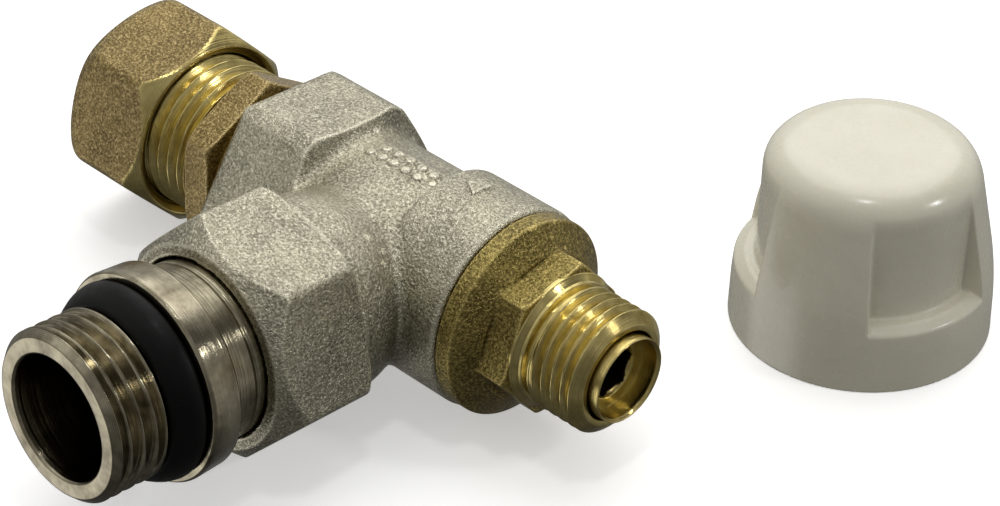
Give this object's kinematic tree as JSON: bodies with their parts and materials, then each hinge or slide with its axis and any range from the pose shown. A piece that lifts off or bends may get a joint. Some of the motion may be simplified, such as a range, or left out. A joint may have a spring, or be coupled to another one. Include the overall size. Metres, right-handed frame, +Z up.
{
  "type": "lockshield radiator valve",
  "caption": "Angle radiator valve with compression inlet, union tail and hex-key lockshield spindle, its screw-on cap standing beside it.",
  "frame": {"origin": "centre of the overall bounding box, on the floor the valve lies on and the cap stands on", "axes": "+Z up; the pipe, bonnet and spindle axis runs close to +X, out through the spindle, 0.6 degrees down; the union tail points to -Y, raised 4 degrees; the cap stands towards +X +Y"},
  "size_m": [0.1032, 0.1142, 0.0305],
  "materials": {
    "valve_body": "nickel plated over a blasted forging",
    "compression_adapter": "machined, forged flats",
    "adapter_seal": "matt",
    "compression_nut": "blasted forging",
    "compression_olive": "machined",
    "union_nut": "nickel plated over a blasted forging",
    "radiator_tail": "nickel plated, machined",
    "tail_oring": "satin",
    "tail_seat_oring": "satin",
    "nut_retaining_ring": "spring steel",
    "bonnet": "forged flange, machined thread",
    "bonnet_oring": "satin",
    "spindle": "machined",
    "spindle_oring_lower": "satin",
    "spindle_oring_upper": "satin",
    "spindle_friction_ring": "white PTFE",
    "valve_plug": "machined",
    "plug_washer": "matt",
    "plug_screw": "stainless",
    "lockshield_cap": "ivory-white ABS"
  },
  "bodies": {
    "valve": {"valve_body": "valve_body", "compression_adapter": "compression_adapter", "adapter_seal": "adapter_seal", "bonnet": "bonnet", "bonnet_oring": "bonnet_oring"},
    "plug": {"valve_plug": "valve_plug", "plug_washer": "plug_washer", "plug_screw": "plug_screw"},
    "spindle": {"spindle": "spindle", "spindle_oring_lower": "spindle_oring_lower", "spindle_oring_upper": "spindle_oring_upper", "spindle_friction_ring": "spindle_friction_ring"},
    "tail": {"radiator_tail": "radiator_tail", "tail_oring": "tail_oring", "tail_seat_oring": "tail_seat_oring", "nut_retaining_ring": "nut_retaining_ring"},
    "union_nut": {"union_nut": "union_nut"},
    "olive": {"compression_olive": "compression_olive"},
    "compression_nut": {"compression_nut": "compression_nut"},
    "cap": {"lockshield_cap": "lockshield_cap"}
  },
  "joints": [
    {"name": "plug_travel", "type": "slide", "parent": "valve", "child": "plug", "axis": [0.9999, 0, -0.0105], "range_m": [-0.0045, 0]},
    {"name": "spindle_turn", "type": "hinge", "parent": "plug", "child": "spindle", "pos_m": [-0.00134, -0.00263, 0.01345], "axis": [0.9999, 0, -0.0105], "range_deg": [-1624, 4]},
    {"name": "tail_travel", "type": "slide", "parent": "valve", "child": "tail", "axis": [0.0007, -0.9976, 0.0698], "range_m": [0, 0.00726]},
    {"name": "union_nut_turn", "type": "hinge", "parent": "tail", "child": "union_nut", "pos_m": [-0.00134, -0.00263, 0.01345], "axis": [0.0007, -0.9976, 0.0698], "range_deg": [-4, 1444]},
    {"name": "olive_travel", "type": "slide", "parent": "valve", "child": "olive", "axis": [-0.9999, 0, 0.0105], "range_m": [-0.00181, 0.00544]},
    {"name": "compression_nut_turn", "type": "hinge", "parent": "olive", "child": "compression_nut", "pos_m": [-0.00134, -0.00263, 0.01345], "axis": [-0.9999, 0, 0.0105], "range_deg": [-364, 1084]},
    {"name": "cap_lift", "type": "slide", "parent": "valve", "child": "cap", "axis": [0, 0, 1], "range_m": [0, 0.06]}
  ],
  "couplings": [
    {"joint": "spindle_turn", "follows": "plug_travel", "rad_per_m": 6283.2},
    {"joint": "union_nut_turn", "follows": "tail_travel", "rad_per_m": 3463.7},
    {"joint": "compression_nut_turn", "follows": "olive_travel", "rad_per_m": 3463.7}
  ]
}
